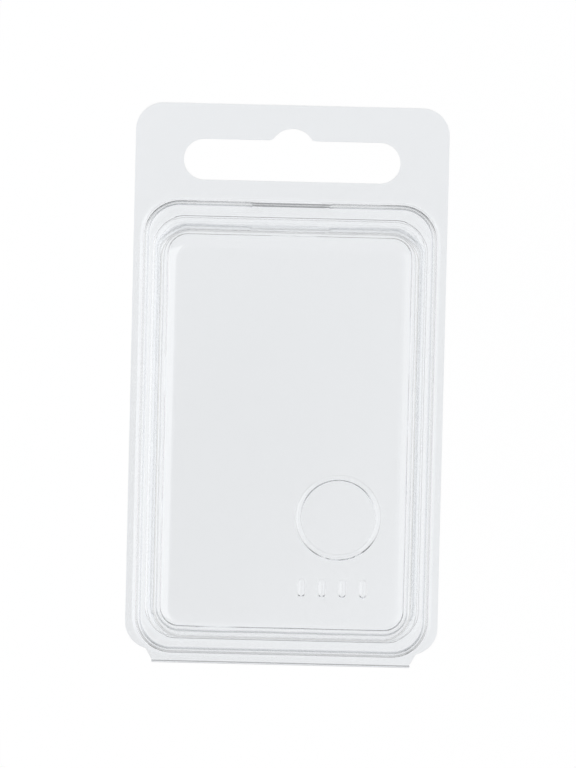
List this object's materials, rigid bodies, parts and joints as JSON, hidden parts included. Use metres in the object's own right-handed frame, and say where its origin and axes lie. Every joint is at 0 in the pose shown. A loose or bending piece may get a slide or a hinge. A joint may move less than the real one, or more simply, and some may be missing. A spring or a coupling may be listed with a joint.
{
  "type": "plastic clamshell container",
  "caption": "Clear hinged clamshell pack with a deep rectangular lid, a plug-fit back, a closing step all round and a hang tab with a long slot for a display peg",
  "frame": {"origin": "middle of the outline, on the underside of the back flange, with the pack lying on its back", "axes": "+Z out of the front face, +Y towards the hang tab, +X across the pack"},
  "size_m": [0.046, 0.0826, 0.0169],
  "materials": {
    "clear_sheet": "clear glossy PET sheet"
  },
  "bodies": {
    "back": {"back_half": "clear_sheet"},
    "lid": {"front_half": "clear_sheet"}
  },
  "joints": [
    {"name": "lid_hinge", "type": "hinge", "parent": "back", "child": "lid", "pos_m": [0, -0.04125, 0.0005], "axis": [1, 0, 0], "range_deg": [0, 111.7]}
  ]
}
